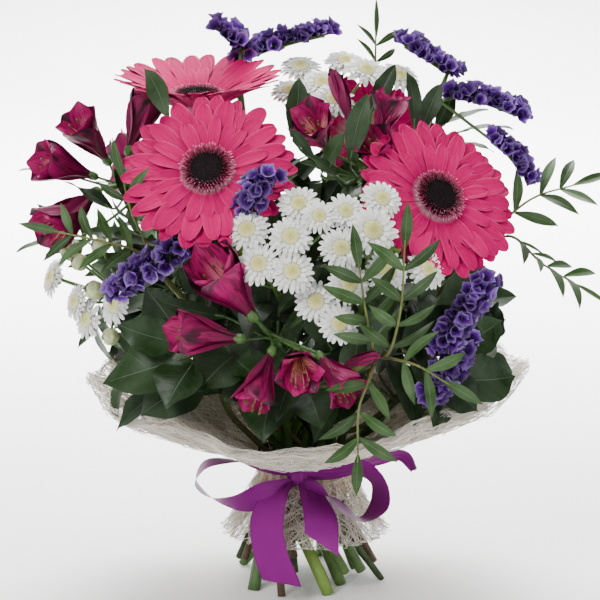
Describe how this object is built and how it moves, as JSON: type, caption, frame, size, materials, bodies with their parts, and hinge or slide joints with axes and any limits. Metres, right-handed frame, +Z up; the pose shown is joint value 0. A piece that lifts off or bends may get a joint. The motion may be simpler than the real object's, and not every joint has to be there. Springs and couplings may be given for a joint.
{
  "type": "mixed flower bouquet",
  "caption": "Hand-tied mixed bouquet of gerberas, chrysanthemums, alstroemerias, statice and foliage, in a sisal collar tied with a satin ribbon.",
  "frame": {"origin": "on the ground under the middle of the bouquet, at the height of the longest cut stem ends", "axes": "+Z up along the bouquet, -Y towards its front, +X to the right as seen from the front"},
  "size_m": [0.3906, 0.3474, 0.3912],
  "materials": {
    "gerbera_petals": "satin",
    "gerbera_disc": "matt",
    "gerbera_stem": "satin",
    "chrysanthemum_white": "matt",
    "statice_violet": "matt",
    "alstroemeria_magenta": "satin",
    "green_stem": "satin",
    "pistacia_leaf": "satin",
    "salal_leaf": "glossy",
    "twine": "matt",
    "sisal": "matt",
    "satin": "satin"
  },
  "bodies": {
    "root": {"gerbera_left_stem": "gerbera_stem", "gerbera_right_stem": "gerbera_stem", "gerbera_top_stem": "gerbera_stem", "gerbera_back_stem": "gerbera_stem", "chrysanthemum_front_left_stem": "green_stem", "chrysanthemum_front_right_stem": "green_stem", "chrysanthemum_top_stem": "green_stem", "chrysanthemum_left_stem": "green_stem", "chrysanthemum_back_stem": "green_stem", "statice_top_left_stem": "green_stem", "statice_top_right_stem": "green_stem", "statice_left_stem": "green_stem", "statice_right_stem": "green_stem", "statice_back_stem": "green_stem", "binding_tie": "twine", "sisal_collar": "sisal", "chrysanthemum_front_right_heads": "chrysanthemum_white", "statice_left_florets": "statice_violet", "gerbera_left_petals": "gerbera_petals", "gerbera_left_disc": "gerbera_disc", "gerbera_right_petals": "gerbera_petals", "gerbera_right_disc": "gerbera_disc", "gerbera_top_petals": "gerbera_petals", "gerbera_top_disc": "gerbera_disc", "gerbera_back_petals": "gerbera_petals", "gerbera_back_disc": "gerbera_disc", "chrysanthemum_front_left_heads": "chrysanthemum_white", "chrysanthemum_top_heads": "chrysanthemum_white", "chrysanthemum_left_heads": "chrysanthemum_white", "chrysanthemum_back_heads": "chrysanthemum_white", "alstroemeria_front_blooms": "alstroemeria_magenta", "alstroemeria_centre_blooms": "alstroemeria_magenta", "alstroemeria_left_blooms": "alstroemeria_magenta", "alstroemeria_back_blooms": "alstroemeria_magenta", "statice_top_left_florets": "statice_violet", "statice_top_right_florets": "statice_violet", "statice_right_florets": "statice_violet", "statice_back_florets": "statice_violet", "pistacia_front": "pistacia_leaf", "pistacia_right": "pistacia_leaf", "pistacia_left": "pistacia_leaf", "pistacia_top": "pistacia_leaf", "pistacia_back": "pistacia_leaf", "pistacia_back_left": "pistacia_leaf", "alstroemeria_front": "green_stem", "alstroemeria_centre": "green_stem", "alstroemeria_left": "green_stem", "alstroemeria_back": "green_stem", "salal_left": "salal_leaf", "salal_front": "salal_leaf", "salal_right": "salal_leaf", "salal_back_left": "salal_leaf", "salal_back_right": "salal_leaf", "ribbon": "satin"}
  },
  "joints": []
}
